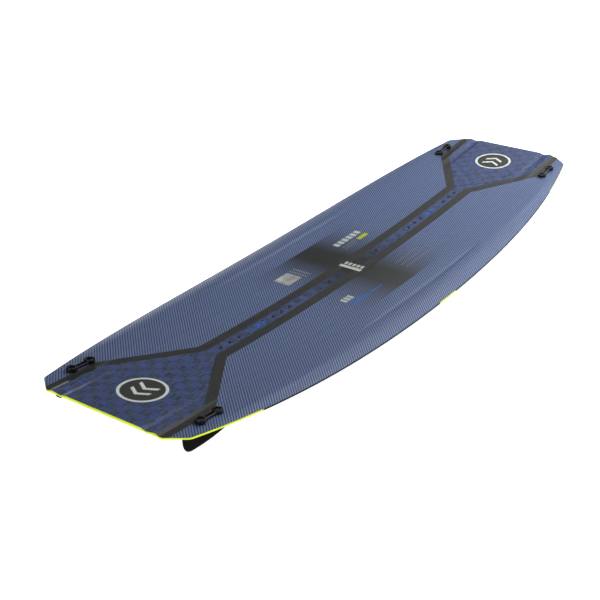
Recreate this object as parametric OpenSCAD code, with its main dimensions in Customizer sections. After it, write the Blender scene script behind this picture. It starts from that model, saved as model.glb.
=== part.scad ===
// Twin-tip kiteboard: a rockered sandwich board with a chamfered, channelled
// tip at each end, threaded inserts along its centre line and four bolt-on fins.
// +X runs along the board, +Y across it and +Z up out of the deck. The origin is
// at mid length and mid width, on the plane that the four fin tips stand on.

/* [Board] */
// Overall length, tip to tip
board_l = 1390; // [1340:5:1440]
// Width at the middle
board_w = 415; // [400:5:430]
// Height that the hull rises from the middle to each tip
rocker_h = 43; // [38:1:46]
// Thickness along the centre line at the middle
thick_mid = 10; // [9:0.5:12]
// Thickness along the centre line at the tips
thick_tip = 5; // [5:0.5:7]
// Thickness at the rails and in the tip channels
thick_edge = 3; // [2.8:0.1:3.1]

/* [Tip shape] */
// Half width of the straight edge across each tip
tip_edge_half = 116.5; // [110:0.5:120]
// Distance from the tip edge back to the outer end of the corner cut
corner_back = 25.5; // [20:0.5:30]
// Half width at the outer end of the corner cut
corner_half = 148; // [146:0.5:150]
// Depth of the channels at the tip edge
channel_d = 2.8; // [2:0.1:3]
// Distance from mid length at which the channels fade out
channel_start = 505; // [490:5:520]

/* [Lay-up] */
// Thickness of the glass laminate on each face
laminate_t = 0.8; // [0.6:0.1:1]
// Thickness of the carbon plies laid over the deck laminate
ply_t = 0.25; // [0.2:0.05:0.3]
// Width of the plastic rail around the core
rail_w = 8; // [6:0.5:10]
// Width of the rail lip that shows at the outside of the laminates
rail_lip = 0.5; // [0.4:0.1:2]
// Distance from mid length to the start of the bright tip rails
tip_rail_x = 531; // [520:1:540]
// Half length of the bright rail block at mid length
mid_rail_half = 30.5; // [25:0.5:35]

/* [Carbon tapes] */
// Distance from the centre line to the inner edge of each tape
tape_y = 11.3; // [11:0.1:12]
// Width of the tapes
tape_w = 18.4; // [17:0.1:19]
// Distance from mid length at which the tapes start to splay
tape_bend_x = 441; // [438:1:444]
// Distance from mid length at which the tapes turn parallel to the board again
tape_turn_x = 587; // [584:1:590]
// Distance from the centre line to the inner edge of each tape at the tips
tape_tip_y = 105; // [104:0.5:106]

/* [Inserts] */
// Distance between the two grab-handle inserts
handle_pitch = 170; // [160:5:180]
// Distance from mid length to the middle of the inner strap insert group
strap_inner_x = 239.5; // [235:0.5:245]
// Distance from mid length to the middle of the outer strap insert group
strap_outer_x = 388.5; // [384:0.5:393]
// Distance between neighbouring inserts of a group
insert_pitch = 25; // [25:1:25]
// Radius of the hole for the strap and handle screws
insert_hole_r = 3; // [3:0.5:3]
// Outer radius of the threaded bush
bush_r = 4.5; // [4:0.1:4.8]
// Outer radius of the moulded cup around the bush
cup_r = 8; // [7:0.5:9]

/* [Fins] */
// Distance from mid length to the middle of each fin's two screws
fin_x = 606.5; // [600:0.5:612]
// Distance from the centre line to each fin
fin_y = 130.7; // [128:0.1:132]
// Distance between the two screws of a fin
fin_pitch = 40; // [38:1:42]
// Depth of the fin below the hull
fin_depth = 35; // [30:1:50]
// Thickness of the fin at its base
fin_base_t = 10.4; // [10:0.1:12]
// Thickness of the fin at its lower edge
fin_edge_t = 3; // [2:0.5:4]
// Length of fin base on the tip side of the screws' middle
fin_tip_reach = 61; // [55:1:65]
// Length of fin base on the inner side of the screws' middle
fin_inner_reach = 85; // [75:1:95]
// Angle of the fins, washers and screws to the vertical
fin_tilt = 5.4; // [5:0.1:5.8]

/* [Fin hardware] */
// Radius of the screw's shank
screw_r = 3; // [3:0.5:3]
// Radius of the screw's head
head_r = 5; // [4.8:0.1:5.2]
// Height of the screw's head
head_h = 3.4; // [3:0.1:3.6]
// Length of shank inside the fin's threaded bush
screw_grip = 11; // [9:0.5:12]
// Radius of the round bosses of the washer plate
boss_r = 9; // [8.5:0.1:9.5]
// Height of the bosses
boss_h = 6.6; // [6:0.1:7]
// Height of the bridge between the bosses
bridge_h = 4; // [3.5:0.1:4.5]

/* [Hidden] */

$fn = 128;
half_l = board_l / 2;
// the glue line between two layers, and the running gap around plies and hardware
glue = 0.1;
gap = 0.05;

// ---- plan shape ---------------------------------------------------------------

// the rails narrow from the middle with a square and a fourth-power term, then a
// straight cut joins each rail to the tip edge
corner_x = half_l - corner_back;
narrowing = board_w / 2 - corner_half;
fourth_share = 0.38;
function rail_y(x) = board_w / 2 - narrowing
    * ((1 - fourth_share) * pow(x / corner_x, 2) + fourth_share * pow(x / corner_x, 4));
function rail_slope(x) = -narrowing / corner_x
    * (2 * (1 - fourth_share) * (x / corner_x) + 4 * fourth_share * pow(x / corner_x, 3));
function half_width(x) = abs(x) <= corner_x ? rail_y(abs(x))
    : corner_half + (tip_edge_half - corner_half) * (abs(x) - corner_x) / corner_back;
// how far a corner moves when both of its sides, with normals a and b, move by one
function mitre(a, b) = [b.y - a.y, a.x - b.x] / (a.x * b.y - a.y * b.x);
function unit(v) = v / norm(v);
cut_normal = unit([corner_half - tip_edge_half, corner_back]);
outer_mitre = mitre(unit([-rail_slope(corner_x), 1]), cut_normal);
inner_mitre = mitre(cut_normal, [1, 0]);

// the five kinds of point on the outline, moved inwards by inset
function rail_point(x, inset) = [x, rail_y(x) - inset * sqrt(1 + pow(rail_slope(x), 2))];
function outer_corner(inset) = [corner_x, corner_half] - inset * outer_mitre;
function cut_point(x, inset) = [x, half_width(x) - inset / cut_normal.y];
function inner_corner(inset) = [half_l, tip_edge_half] - inset * inner_mitre;
function tip_point(y, inset) = [half_l - inset, y];

// ---- deck and hull surfaces -------------------------------------------------------

deck_rise = rocker_h + thick_tip - thick_mid;
// height of an arc that rises by rise at the tips, above its lowest point
function arc_z(rise, x) = let (r = (half_l * half_l + rise * rise) / (2 * rise)) r - sqrt(r * r - x * x);
function thickness(x) = thick_mid + arc_z(deck_rise, x) - arc_z(rocker_h, x);

// lines along the board where the tip channels change slope: groove, ridge, outer zone
channel_lines = [75, 86, 103.5, 112];
function channel_at(x) = channel_d * max(0, x * x - channel_start * channel_start)
    / (half_l * half_l - channel_start * channel_start);
function channel_share(y) = lookup(abs(y), [[channel_lines[0], 0], [channel_lines[1], 1],
    [channel_lines[2], 0], [channel_lines[3], 1]]);

// shares of the outer zone's width: the lens groove's inner edge, floor and outer
// edge, and the line where the deck starts to bevel down to the rail
outer_shares = [0.38, 0.47, 0.56, 0.68];
lens_half_l = 236;
lens_d = 1.5;
function outer_share(x, y) = (abs(y) - channel_lines[3]) / (half_width(x) - channel_lines[3]);
function lens_at(x, y) = lens_d * max(0, 1 - pow(x / lens_half_l, 2)) * lookup(outer_share(x, y),
    [[outer_shares[0], 0], [outer_shares[1], 1], [outer_shares[2], 0]]);
function bevel_at(x, y) = max(0, thickness(x) - channel_at(x) - thick_edge)
    * max(0, (outer_share(x, y) - outer_shares[3]) / (1 - outer_shares[3]));
function deck_height(x, y) = thick_mid + arc_z(deck_rise, x) - channel_at(x) * channel_share(y)
    - lens_at(x, y) - bevel_at(x, y);
function hull_height(x, y) = min(arc_z(rocker_h, x), deck_height(x, y) - thick_edge);

// ---- fin outline --------------------------------------------------------------

// the lower edge is a flattened quarter ellipse on each side of its deepest point
fin_deepest = 33;
fin_nose_steps = 8;
fin_tail_steps = 14;
nose_power = 2.6;
tail_power = 2.1;
function fin_edge(share, power) = -fin_depth * pow(1 - pow(share, power), 1 / power);
// the points bunch up towards both ends, where the edge turns fastest
fin_outline = concat(
    [[-fin_inner_reach, 8]],
    [for (i = [0:fin_tail_steps])
        let (share = cos(90 * i / fin_tail_steps))
        [fin_deepest - (fin_deepest + fin_inner_reach) * share, fin_edge(share, tail_power)]],
    [for (i = [1:fin_nose_steps])
        let (share = sin(90 * i / fin_nose_steps))
        [fin_deepest + (fin_tip_reach - fin_deepest) * share, fin_edge(share, nose_power)]],
    [[fin_tip_reach, 8]]);
// the board is lifted so that the fins' lowest points just touch z = 0
lift = -arc_z(rocker_h, fin_x) - min([for (p = fin_outline) p.x * sin(fin_tilt) + p.y * cos(fin_tilt)]);

// ---- solids between two grids of points -------------------------------------------

function reversed(v) = [for (i = [len(v) - 1:-1:0]) v[i]];
function joined(rows) = [for (row = rows, p = row) p];

// a cell's two triangles; the cut mirrors from quarter to quarter of the board, so that
// every layer folds along the same lines
function cut_cell(a, b, c, d, p, q) = (p.x + q.x) * (p.y + q.y) > 0
    ? [[a, b, c], [a, c, d]]
    : [[a, b, d], [b, c, d]];

// a closed solid between an upper and a lower grid of points: rows run along X, and
// the points of a row along Y
module slab(upper, lower) {
    rows = len(upper);
    cols = len(upper[0]);
    n = rows * cols;
    cells = joined([for (i = [0:rows - 2], j = [0:cols - 2])
        let (c = i * cols + j)
        cut_cell(c, c + 1, c + cols + 1, c + cols, upper[i][j], upper[i + 1][j + 1])]);
    polyhedron(
        points = concat(joined(upper), joined(lower)),
        faces = concat(
            cells,
            [for (f = cells) [f[2] + n, f[1] + n, f[0] + n]],
            [for (i = [0:rows - 2]) let (a = i * cols, b = a + cols) [a, b, b + n, a + n]],
            [for (i = [0:rows - 2]) let (a = i * cols + cols - 1, b = a + cols) [b, a, a + n, b + n]],
            [for (j = [0:cols - 2]) [j + 1, j, j + n, j + n + 1]],
            [for (j = [n - cols:n - 2]) [j, j + 1, j + n + 1, j + n]]));
}

// a closed solid through a row of section loops; cap splits a section into convex faces
module loft(sections, cap) {
    n = len(sections[0]);
    last = len(sections) - 1;
    polyhedron(
        points = joined(sections),
        faces = concat(
            cap,
            [for (i = [0:last - 1], j = [0:n - 1]) [i * n + j, (i + 1) * n + j, i * n + (j + 1) % n]],
            [for (i = [0:last - 1], j = [0:n - 1])
                [(i + 1) * n + j, (i + 1) * n + (j + 1) % n, i * n + (j + 1) % n]],
            [for (face = cap) [for (j = reversed(face)) last * n + j]]));
}

// distances from mid length at which every layer has a row of points
flat_reach = 35;
plain_stations = concat([0, mid_rail_half],
    [for (i = [1:4]) mid_rail_half + (lens_half_l - mid_rail_half) * i / 4],
    [for (i = [1:4]) lens_half_l + (channel_start - lens_half_l) * i / 4],
    [tip_rail_x, (tip_rail_x + fin_x - flat_reach) / 2, fin_x - flat_reach, fin_x + flat_reach]);

// the same between the two corners of the tip
cut_stations = [for (i = [1:2]) corner_x + corner_back * i / 4];

function mirrored(v) = concat([for (x = reversed(v)) if (x > 0) -x], v);
// the last line is at the sheet's edge, and the outer zone's lines stay inside it
function row_ys(width, last) = let (
        most = (last - channel_lines[3] - 0.3) / outer_shares[3],
        outer = min(width - channel_lines[3], most))
    mirrored(concat([0], channel_lines, [for (f = outer_shares) channel_lines[3] + f * outer], [last]));
function sheet_rows(inset) = let (
        corner = outer_corner(inset),
        tip = inner_corner(inset),
        half = concat([for (x = plain_stations) [x, half_width(x), rail_point(x, inset).y]],
            [[corner.x, half_width(corner.x), corner.y]],
            [for (x = cut_stations) [x, half_width(x), cut_point(x, inset).y]],
            [[tip.x, half_width(tip.x), tip.y]]))
    [for (h = concat([for (h = reversed(half)) if (h.x > 0) [-h.x, h.y, h.z]], half))
        [for (y = row_ys(h.y, h.z)) [h.x, y]]];
function raised_deck(rows, dz) = [for (row = rows)
    [for (p = row) [p.x, p.y, lift + deck_height(p.x, p.y) + dz]]];
function raised_hull(rows, dz) = [for (row = rows)
    [for (p = row) [p.x, p.y, lift + hull_height(p.x, p.y) + dz]]];

// ---- places -------------------------------------------------------------------

strap_xs = [for (g = [strap_inner_x, strap_outer_x], i = [-1:1]) g + i * insert_pitch];
handle_xs = [handle_pitch / 2, -handle_pitch / 2];
all_insert_xs = concat(strap_xs, -strap_xs, handle_xs);

module at_inserts(xs) {
    for (x = xs)
        translate([x, 0, lift + deck_height(x, 0)])
            children();
}

// The local frame of a fin: the origin is on the hull midway between its screws, +X
// points to the board's tip and +Z leans inwards.
module at_fin(end, side) {
    mirror([end > 0 ? 0 : 1, 0, 0])
        translate([fin_x, side * fin_y, lift + arc_z(rocker_h, fin_x)])
            rotate([0, -fin_tilt, 0])
                children();
}

module at_screws() {
    for (u = [-1, 1])
        translate([u * fin_pitch / 2, 0, 0])
            children();
}

module at_all_screws() {
    for (end = [-1, 1], side = [-1, 1])
        at_fin(end, side)
            at_screws()
                children();
}

module fin_screw_holes(r) {
    at_all_screws()
        translate([0, 0, -20])
            cylinder(r = r, h = 50);
}

// ---- sandwich -----------------------------------------------------------------

// below the deck: the insert cups' tops, their pockets' floors and the bushes' ends
cup_top = 1.6;
cup_floor = 6.6;
bush_top = 0.5;
bush_floor = 6;
sleeve_r = 5;
hole_r = screw_r + 0.3;

module core() {
    rows = sheet_rows(rail_w);
    color("burlywood")
        difference() {
            slab(raised_deck(rows, -laminate_t - glue), raised_hull(rows, laminate_t + glue));
            at_inserts(all_insert_xs)
                translate([0, 0, -cup_floor])
                    cylinder(r = cup_r, h = 20);
            fin_screw_holes(sleeve_r);
        }
}

module bottom_laminate() {
    rows = sheet_rows(rail_lip);
    color("slategray")
        difference() {
            slab(raised_hull(rows, laminate_t), raised_hull(rows, 0));
            fin_screw_holes(hole_r);
        }
}

module top_laminate() {
    rows = sheet_rows(rail_lip);
    color("steelblue")
        difference() {
            slab(raised_deck(rows, 0), raised_deck(rows, -laminate_t));
            at_inserts(all_insert_xs)
                translate([0, 0, -10])
                    cylinder(r = bush_r + glue, h = 20);
            fin_screw_holes(hole_r);
        }
}

// ---- carbon plies over the deck ---------------------------------------------------

ply_edge = rail_lip + 0.4;
ply_reach = channel_lines[3] + 14;
splay = (tape_tip_y - tape_y) / (tape_turn_x - tape_bend_x);
// the outer edge of the tape turns earlier than its inner edge, so its width stays
turn_shift = tape_w * tan(atan(splay) / 2);

// a thin skin just above the deck, from the line y0 out to the line y1
module deck_ply(y0, y1) {
    xs = mirrored(concat(plain_stations, [outer_corner(rail_lip).x], cut_stations, [half_l - ply_edge]));
    lines = concat(-reversed(channel_lines), [0], channel_lines);
    ys = concat([y0], [for (y = lines) if (y > y0 && y < y1) y], [y1]);
    rows = [for (x = xs) [for (y = ys) [x, y]]];
    slab(raised_deck(rows, gap + ply_t), raised_deck(rows, gap));
}

module column(points) {
    translate([0, 0, lift - 10])
        linear_extrude(height = 80)
            polygon(points);
}

module carbon_tape(side) {
    inner = [[tape_bend_x, tape_y], [tape_turn_x, tape_tip_y], [half_l, tape_tip_y]];
    outer = [[half_l, tape_tip_y + tape_w], [tape_turn_x - turn_shift, tape_tip_y + tape_w],
        [tape_bend_x - turn_shift, tape_y + tape_w]];
    half = concat(inner, outer);
    corners = [inner_corner(ply_edge), outer_corner(ply_edge)];
    color("dimgray")
        intersection() {
            deck_ply(min(0, side * ply_reach), max(0, side * ply_reach));
            mirror([0, side > 0 ? 0 : 1, 0])
                column(concat(half, [for (p = reversed(half)) [-p.x, p.y]]));
            mirror([0, side > 0 ? 0 : 1, 0])
                column(concat([for (p = corners) [-p.x, p.y]], reversed(corners),
                    [[half_l - ply_edge, 0], [ply_edge - half_l, 0]]));
        }
}

module spread_tow_ply() {
    edge = [[tape_bend_x, tape_y - gap], [tape_turn_x, tape_tip_y - gap], [half_l, tape_tip_y - gap]];
    upper = concat([for (p = reversed(edge)) [-p.x, p.y]], edge);
    color("midnightblue")
        difference() {
            intersection() {
                deck_ply(-ply_reach, ply_reach);
                column(concat(upper, [for (p = reversed(upper)) [p.x, -p.y]]));
            }
            at_inserts(all_insert_xs)
                translate([0, 0, -10])
                    cylinder(r = bush_r + glue, h = 20);
        }
}

// ---- rails ------------------------------------------------------------------------

// A rail's section: a lip outside the laminates and a tongue between them, which has
// some room for glue. The points of the outline at the three insets are given.
function rail_section(outer, lip, inner) = let (
        lip_top = lift + deck_height(lip.x, lip.y),
        lip_low = lift + hull_height(lip.x, lip.y),
        skin = laminate_t + 1.6 * glue)
    [[outer.x, outer.y, lift + hull_height(outer.x, outer.y)],
        [outer.x, outer.y, lift + deck_height(outer.x, outer.y)],
        [lip.x, lip.y, lip_top],
        [lip.x, lip.y, lip_top - skin],
        [inner.x, inner.y, lift + deck_height(inner.x, inner.y) - skin],
        [inner.x, inner.y, lift + hull_height(inner.x, inner.y) + skin],
        [lip.x, lip.y, lip_low + skin],
        [lip.x, lip.y, lip_low]];
rail_insets = [0, rail_lip - glue, rail_w - glue];
rail_cap = [[0, 1, 2, 3], [0, 3, 6], [0, 6, 7], [3, 4, 5, 6]];
function flip_y(section) = reversed([for (p = section) [p.x, -p.y, p.z]]);
function flip_x(section) = [for (p = section) [-p.x, p.y, p.z]];

// rail sections on the +Y side, from mid length to the start of the tip rail
side_stations = [for (x = plain_stations) if (x >= mid_rail_half && x <= tip_rail_x) x];
side_sections = [for (x = side_stations)
    let (p = [for (inset = rail_insets) rail_point(x, inset)]) rail_section(p[0], p[1], p[2])];
// rail sections around the tip, from the +Y side to the middle of the tip edge
tip_places = [for (inset = rail_insets) concat(
    [for (x = plain_stations) if (x >= tip_rail_x) rail_point(x, inset)],
    [outer_corner(inset)],
    [for (x = cut_stations) cut_point(x, inset)],
    [inner_corner(inset)],
    [for (y = reversed(channel_lines)) tip_point(y, inset)])];
tip_sections = [for (i = [0:len(tip_places[0]) - 1])
    rail_section(tip_places[0][i], tip_places[1][i], tip_places[2][i])];

module tip_rail(end) {
    far_side = [for (s = reversed(tip_sections)) reversed(flip_y(s))];
    color("yellow")
        mirror([end > 0 ? 0 : 1, 0, 0])
            loft(concat(tip_sections, far_side), rail_cap);
}

module side_rail(end, side) {
    color("dimgray")
        mirror([end > 0 ? 0 : 1, 0, 0])
            mirror([0, side > 0 ? 0 : 1, 0])
                loft(side_sections, rail_cap);
}

module mid_rail(side) {
    middle = [for (inset = rail_insets) rail_point(0, inset)];
    color("yellow")
        mirror([0, side > 0 ? 0 : 1, 0])
            loft([flip_x(side_sections[0]), rail_section(middle[0], middle[1], middle[2]), side_sections[0]],
                rail_cap);
}

// ---- inserts ----------------------------------------------------------------------

module insert_cups(xs) {
    color("black")
        at_inserts(xs)
            difference() {
                translate([0, 0, -cup_floor]) cylinder(r = cup_r, h = cup_floor - cup_top);
                translate([0, 0, -bush_floor]) cylinder(r = bush_r, h = 20);
            }
}

module insert_bushes(xs) {
    color("goldenrod")
        at_inserts(xs)
            difference() {
                translate([0, 0, -bush_floor]) cylinder(r = bush_r, h = bush_floor - bush_top);
                translate([0, 0, 0.5 - bush_floor]) cylinder(r = insert_hole_r, h = 20);
            }
}

// ---- fins and their hardware ------------------------------------------------------

sleeve_clear = laminate_t + 0.7;
fin_bush_r = 4.1;
fin_bush_l = 13;
fin_top = 0.3;
// the deck's height and slope over a fin, in the fin's own frame
function fin_deck(x) = let (dz = deck_height(x, fin_y) - arc_z(rocker_h, fin_x))
    [(x - fin_x) * cos(fin_tilt) + dz * sin(fin_tilt), dz * cos(fin_tilt) - (x - fin_x) * sin(fin_tilt)];
deck_out = fin_deck(fin_x + flat_reach);
deck_in = fin_deck(fin_x - flat_reach);
deck_lean = atan((deck_out.y - deck_in.y) / (deck_out.x - deck_in.x));
washer_z = (deck_in.y * deck_out.x - deck_out.y * deck_in.x) / (deck_out.x - deck_in.x);
washer_floor = 2.4;

module fin_hole_sleeves() {
    color("white")
        at_all_screws()
            difference() {
                translate([0, 0, sleeve_clear])
                    cylinder(r = sleeve_r, h = washer_z - 2 * sleeve_clear);
                translate([0, 0, -20])
                    cylinder(r = hole_r, h = 50);
            }
}

// the hull's underside as a block that stands on it, along one fin
module hull_block() {
    xs = [for (x = concat(plain_stations, [outer_corner(rail_lip).x, half_l])) if (x > channel_start) x];
    line = [for (x = concat([channel_start], xs)) [x, lift + arc_z(rocker_h, x) - 2 * gap]];
    translate([0, outer_reach, 0])
        rotate([90, 0, 0])
            linear_extrude(height = 2 * outer_reach)
                polygon(concat(line, [[half_l, lift + 90], [channel_start, lift + 90]]));
}
outer_reach = 240;

// the fin is thick at the hull, thin at its lower edge and lens-shaped from end to end
module fin_blank() {
    lens_r = 800;
    lens_shift = lens_r - fin_base_t / 2 - 0.4;
    half_t = fin_base_t / 2;
    half_edge = fin_edge_t / 2;
    intersection() {
        translate([0, 20, 0])
            rotate([90, 0, 0])
                linear_extrude(height = 40)
                    polygon(fin_outline);
        translate([-120, 0, 0])
            rotate([90, 0, 90])
                linear_extrude(height = 240)
                    polygon([[-half_t, 9], [-half_t, -1], [-half_edge, -fin_depth], [half_edge, -fin_depth],
                        [half_t, -1], [half_t, 9]]);
        translate([(fin_tip_reach - fin_inner_reach) / 2, 0, -60])
            linear_extrude(height = 80)
                intersection() {
                    translate([0, lens_shift]) circle(r = lens_r, $fn = 256);
                    translate([0, -lens_shift]) circle(r = lens_r, $fn = 256);
                }
    }
}

module fin(end, side) {
    color("black")
        mirror([end > 0 ? 0 : 1, 0, 0])
            difference() {
                at_fin(1, side)
                    difference() {
                        fin_blank();
                        at_screws()
                            translate([0, 0, -fin_bush_l])
                                cylinder(r = fin_bush_r, h = fin_bush_l + 20);
                    }
                hull_block();
            }
}

module fin_bushes(end, side) {
    color("goldenrod")
        at_fin(end, side)
            at_screws()
                difference() {
                    translate([0, 0, -fin_bush_l]) cylinder(r = fin_bush_r, h = fin_bush_l - fin_top);
                    translate([0, 0, 0.6 - fin_bush_l]) cylinder(r = screw_r + 0.05, h = fin_bush_l + 8);
                }
}

// two round bosses with flutes around them, joined by a slotted bridge
module fin_washer(end, side) {
    flutes = 10;
    flute_r = 1.4;
    bridge_w = 9;
    slot_w = 3.4;
    slot_l = 18;
    color("black")
        at_fin(end, side)
            translate([0, 0, washer_z])
                difference() {
                    union() {
                        at_screws()
                            translate([0, 0, -3])
                                cylinder(r = boss_r, h = boss_h + 3);
                        translate([-fin_pitch / 2, -bridge_w / 2, -3])
                            cube([fin_pitch, bridge_w, bridge_h + 3]);
                    }
                    at_screws() {
                        translate([0, 0, washer_floor]) cylinder(r = head_r + 0.6, h = boss_h);
                        translate([0, 0, -10]) cylinder(r = hole_r, h = 20);
                        for (i = [0:flutes - 1])
                            rotate([0, 0, 360 / flutes * (i + 0.5)])
                                translate([boss_r + 0.5, 0, 1.4])
                                    cylinder(r = flute_r, h = boss_h, $fn = 32);
                    }
                    translate([-slot_l / 2, -slot_w / 2, 1.4])
                        cube([slot_l, slot_w, bridge_h]);
                    rotate([0, -deck_lean, 0])
                        translate([-50, -20, 2 * gap + ply_t - 20])
                            cube([100, 40, 20]);
                }
}

// a pan-head screw with a hexagon socket
module fin_screw(end, side, u) {
    seat = washer_z + washer_floor;
    reach = seat + screw_grip;
    socket_r = 2.3;
    socket_d = 2.2;
    color("silver")
        at_fin(end, side)
            translate([u * fin_pitch / 2, 0, seat + gap])
                difference() {
                    union() {
                        cylinder(r = head_r, h = head_h);
                        translate([0, 0, -reach]) cylinder(r = screw_r, h = reach + 0.5);
                    }
                    translate([0, 0, head_h - socket_d]) cylinder(r = socket_r, h = 5, $fn = 6);
                }
}

core();
bottom_laminate();
top_laminate();
spread_tow_ply();
carbon_tape(1);  // carbon_tape_left
carbon_tape(-1);  // carbon_tape_right
tip_rail(1);  // tip_rail_front
tip_rail(-1);  // tip_rail_back
side_rail(1, 1);  // side_rail_front_left
side_rail(1, -1);  // side_rail_front_right
side_rail(-1, 1);  // side_rail_back_left
side_rail(-1, -1);  // side_rail_back_right
mid_rail(1);  // mid_rail_left
mid_rail(-1);  // mid_rail_right
insert_cups(strap_xs);  // strap_insert_cups_front
insert_cups(-strap_xs);  // strap_insert_cups_back
insert_cups(handle_xs);  // handle_insert_cups
insert_bushes(strap_xs);  // strap_insert_bushes_front
insert_bushes(-strap_xs);  // strap_insert_bushes_back
insert_bushes(handle_xs);  // handle_insert_bushes
fin_hole_sleeves();
fin(1, 1);  // fin_front_left
fin(1, -1);  // fin_front_right
fin(-1, 1);  // fin_back_left
fin(-1, -1);  // fin_back_right
fin_bushes(1, 1);  // fin_bushes_front_left
fin_bushes(1, -1);  // fin_bushes_front_right
fin_bushes(-1, 1);  // fin_bushes_back_left
fin_bushes(-1, -1);  // fin_bushes_back_right
fin_washer(1, 1);  // fin_washer_front_left
fin_washer(1, -1);  // fin_washer_front_right
fin_washer(-1, 1);  // fin_washer_back_left
fin_washer(-1, -1);  // fin_washer_back_right
fin_screw(1, 1, -1);  // fin_screw_front_left_inner
fin_screw(1, 1, 1);  // fin_screw_front_left_outer
fin_screw(1, -1, -1);  // fin_screw_front_right_inner
fin_screw(1, -1, 1);  // fin_screw_front_right_outer
fin_screw(-1, 1, -1);  // fin_screw_back_left_inner
fin_screw(-1, 1, 1);  // fin_screw_back_left_outer
fin_screw(-1, -1, -1);  // fin_screw_back_right_inner
fin_screw(-1, -1, 1);  // fin_screw_back_right_outer
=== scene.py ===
"""Looks for the twin-tip kiteboard: skins, plies, rails, fins, fin hardware and prints.

Lengths are in millimetres unless a name says otherwise, and meshes are scaled to metres as
they are made. +X runs along the board, +Y across it and +Z up out of the deck.
"""

import math

import bmesh
import bpy
import numpy as np
from mathutils import Matrix, Vector


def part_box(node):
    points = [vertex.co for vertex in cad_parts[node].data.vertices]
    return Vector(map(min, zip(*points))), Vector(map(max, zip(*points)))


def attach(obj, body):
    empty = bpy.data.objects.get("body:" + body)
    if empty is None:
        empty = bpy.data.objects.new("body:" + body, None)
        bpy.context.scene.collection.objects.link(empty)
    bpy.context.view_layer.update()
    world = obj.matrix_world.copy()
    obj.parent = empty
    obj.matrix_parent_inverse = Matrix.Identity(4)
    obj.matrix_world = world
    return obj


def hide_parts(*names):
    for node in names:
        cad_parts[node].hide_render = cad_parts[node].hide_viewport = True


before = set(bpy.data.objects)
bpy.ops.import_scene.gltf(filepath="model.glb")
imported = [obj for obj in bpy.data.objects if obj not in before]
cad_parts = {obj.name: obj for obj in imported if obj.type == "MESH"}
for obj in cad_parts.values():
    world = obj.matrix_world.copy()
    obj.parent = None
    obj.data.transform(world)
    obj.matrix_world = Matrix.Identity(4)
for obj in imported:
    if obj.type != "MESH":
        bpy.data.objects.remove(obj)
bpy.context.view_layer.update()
M = 0.001

# ---- sizes shared with the CAD part -------------------------------------------------

HULL_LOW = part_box("bottom_laminate")[0].z / M
HALF_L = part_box("tip_rail_front")[1].x / M
HALF_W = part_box("mid_rail_left")[1].y / M
RAIL_LIP = HALF_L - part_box("top_laminate")[1].x / M
TIP_RAIL_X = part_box("tip_rail_front")[0].x / M
MID_RAIL_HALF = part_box("mid_rail_left")[1].x / M
THICK_MID, THICK_TIP, THICK_EDGE = 10.0, 5.0, 3.0
ROCKER = 43.0
DECK_RISE = ROCKER + THICK_TIP - THICK_MID
LAMINATE = 0.8
PLY = 0.25
GLUE = 0.1
GAP = 0.05
CORNER_BACK, CORNER_HALF, TIP_EDGE_HALF = 25.5, 148.0, 116.5
CORNER_RADIUS, TIP_RADIUS = 12.0, 8.0
CORNER_X = HALF_L - CORNER_BACK
NARROWING = HALF_W - CORNER_HALF
FOURTH_SHARE = 0.38
CHANNEL_D, CHANNEL_START = 2.8, 505.0
CHANNEL_LINES = (75.0, 86.0, 103.5, 112.0)
LENS_HALF_L, LENS_D = 236.0, 1.5
LENS_IN, LENS_OUT, BEVEL_START = 0.38, 0.56, 0.68
RAIL_W = 8.0
TAPE_Y, TAPE_W, TAPE_TIP_Y = 11.3, 18.4, 105.0
TAPE_BEND_X, TAPE_TURN_X = 441.0, 587.0
STRAP_XS = [group + step for group in (239.5, 388.5) for step in (-25.0, 0.0, 25.0)]
INSERT_XS = STRAP_XS + [-x for x in STRAP_XS] + [85.0, -85.0]
BUSH_R = 4.5
FIN_X, FIN_Y, FIN_PITCH = 606.5, 130.7, 40.0
FIN_DEPTH, FIN_BASE_T, FIN_EDGE_T = 35.0, 10.4, 3.0
FIN_TIP_REACH, FIN_INNER_REACH, FIN_DEEPEST = 61.0, 85.0, 33.0
FIN_TILT = math.radians(5.4)
FIN_BUSH_R, FIN_BUSH_L = 4.1, 13.0
SCREW_R, HEAD_R, HEAD_H, SCREW_GRIP = 3.0, 5.0, 3.4, 11.0
SOCKET_R, SOCKET_DEPTH = 2.3, 2.2
HOLE_R = SCREW_R + 0.3
BOSS_R, BOSS_H, BRIDGE_H, WASHER_FLOOR = 9.0, 6.6, 4.0, 2.4
BRIDGE_SLOT, SLOT_FLOOR = (9.0, 1.7), 1.4
ENDS = {"front": 1, "back": -1}
SIDES = {"left": 1, "right": -1}


# ---- shape of the board -----------------------------------------------------------------

def arc_z(rise, x):
    """Height of an arc that rises by rise at the tips, above its lowest point."""
    r = (HALF_L ** 2 + rise ** 2) / (2 * rise)
    return r - np.sqrt(r * r - np.asarray(x, float) ** 2)


def ease(t):
    t = np.clip(t, 0.0, 1.0)
    return t * t * (3 - 2 * t)


def unit(v):
    return v / np.linalg.norm(v, axis=-1, keepdims=True)


def rail_y(x):
    t = np.abs(x) / CORNER_X
    return HALF_W - NARROWING * ((1 - FOURTH_SHARE) * t ** 2 + FOURTH_SHARE * t ** 4)


def fillet(before, corner, after, radius):
    """Points of a smooth turn at a corner of the outline."""
    before, corner, after = (np.array(p, float) for p in (before, corner, after))
    into, out = unit(before - corner), unit(after - corner)
    reach = radius / math.tan(math.acos(float(into @ out)) / 2)
    a, b = corner + into * reach, corner + out * reach
    return [a * (1 - t) ** 2 + corner * 2 * t * (1 - t) + b * t ** 2 for t in np.linspace(0, 1, 9)]


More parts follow.
